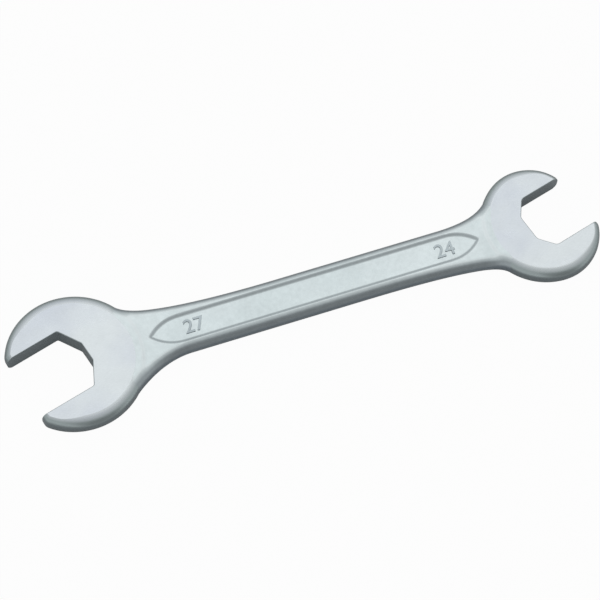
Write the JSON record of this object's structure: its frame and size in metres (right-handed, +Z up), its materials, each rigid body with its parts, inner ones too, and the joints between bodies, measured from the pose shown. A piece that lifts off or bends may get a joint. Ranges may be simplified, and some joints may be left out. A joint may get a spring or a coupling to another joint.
{
  "type": "open end wrench",
  "caption": "Double open end wrench in plated steel, with a larger and a smaller angled jaw on a straight shank with sunk panels.",
  "frame": {"origin": "middle of the wrench's footprint, on the surface that both heads lie on", "axes": "+X along the shank from the large head to the small head, +Z up out of the top face, +Y across the shank"},
  "size_m": [0.2402, 0.0558, 0.0086],
  "materials": {
    "ground_chrome": "ground flat and plated, fine satin",
    "satin_chrome": "forged and plated, soft satin"
  },
  "bodies": {
    "root": {"large_head": "ground_chrome", "shank": "satin_chrome", "small_head": "ground_chrome"}
  },
  "joints": []
}
